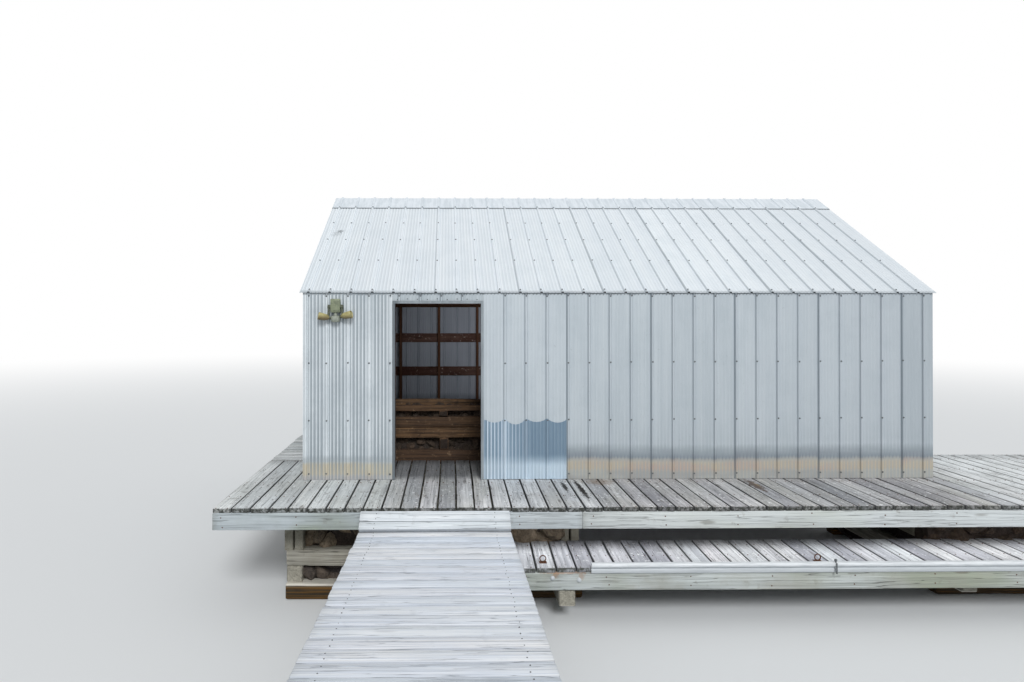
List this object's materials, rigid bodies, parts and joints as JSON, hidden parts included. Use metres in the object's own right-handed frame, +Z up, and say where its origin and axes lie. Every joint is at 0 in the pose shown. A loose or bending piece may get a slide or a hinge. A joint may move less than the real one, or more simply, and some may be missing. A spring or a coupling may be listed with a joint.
{
  "type": "boathouse",
  "caption": "Small gabled boathouse clad in ribbed metal sheet, on a timber dock with rock-filled cribs, a lower side dock and a boarded gangway.",
  "frame": {"origin": "on the ground under the middle of the bounding box, at the foot of the cribs", "axes": "+Z up; -Y towards the gangway and the doorway side; +X to the right along the front wall"},
  "size_m": [9.035, 8.4799, 3.9583],
  "materials": {
    "crib_timber": "weathered square timber, silvery tan",
    "frame_timber": "weathered sawn lumber",
    "inside_timber": "aged brown lumber, dusty",
    "girt_timber": "red-brown stained lumber",
    "fascia_board": "bleached grey lumber",
    "deck_board": "weathered grey deck boards with stains",
    "gangway_board": "sun-bleached boards",
    "rock": "rough pinkish granite rubble",
    "wall_sheet": "dull mill-finish ribbed sheet with a tan stain near its foot",
    "new_sheet": "newer bright galvanised ribbed sheet",
    "roof_sheet": "pale weathered ribbed sheet",
    "metal_trim": "folded mill-finish trim",
    "bumper_vinyl": "white vinyl extrusion",
    "rusty_steel": "rusted steel",
    "lamp_housing": "weathered grey-green plastic with lichen",
    "lamp_head": "weathered yellowed enamel"
  },
  "bodies": {
    "root": {"left_crib_long_timbers": "crib_timber", "left_crib_cross_timbers": "crib_timber", "left_crib_rocks": "rock", "right_crib_long_timbers": "crib_timber", "right_crib_cross_timbers": "crib_timber", "right_crib_rocks": "rock", "back_crib_long_timbers": "crib_timber", "back_crib_cross_timbers": "crib_timber", "back_crib_rocks": "rock", "inner_crib_timbers": "inside_timber", "inner_crib_rocks": "rock", "deck_beams": "crib_timber", "deck_joists": "frame_timber", "deck_fascia": "fascia_board", "front_deck": "deck_board", "side_deck_frame": "frame_timber", "side_deck": "deck_board", "house_sills": "frame_timber", "lower_dock_frame": "fascia_board", "lower_dock_deck": "deck_board", "dock_bumper": "bumper_vinyl", "mooring_rings": "rusty_steel", "gangway_stringers": "fascia_board", "gangway_deck": "gangway_board", "gangway_flap": "gangway_board", "gangway_trestle": "crib_timber", "wall_plates": "inside_timber", "wall_studs": "inside_timber", "wall_girts": "girt_timber", "rafters": "inside_timber", "ridge_board": "inside_timber", "purlins": "inside_timber", "front_wall_left": "wall_sheet", "front_wall_header": "wall_sheet", "front_wall_right": "wall_sheet", "patch_sheet": "new_sheet", "left_gable_wall": "wall_sheet", "right_gable_wall": "wall_sheet", "back_wall": "wall_sheet", "door_trim": "metal_trim", "roof_front": "roof_sheet", "roof_back": "roof_sheet", "ridge_cap": "roof_sheet", "lamp_box": "lamp_housing", "lamp_heads": "lamp_head", "lamp_sensor": "lamp_housing"}
  },
  "joints": []
}
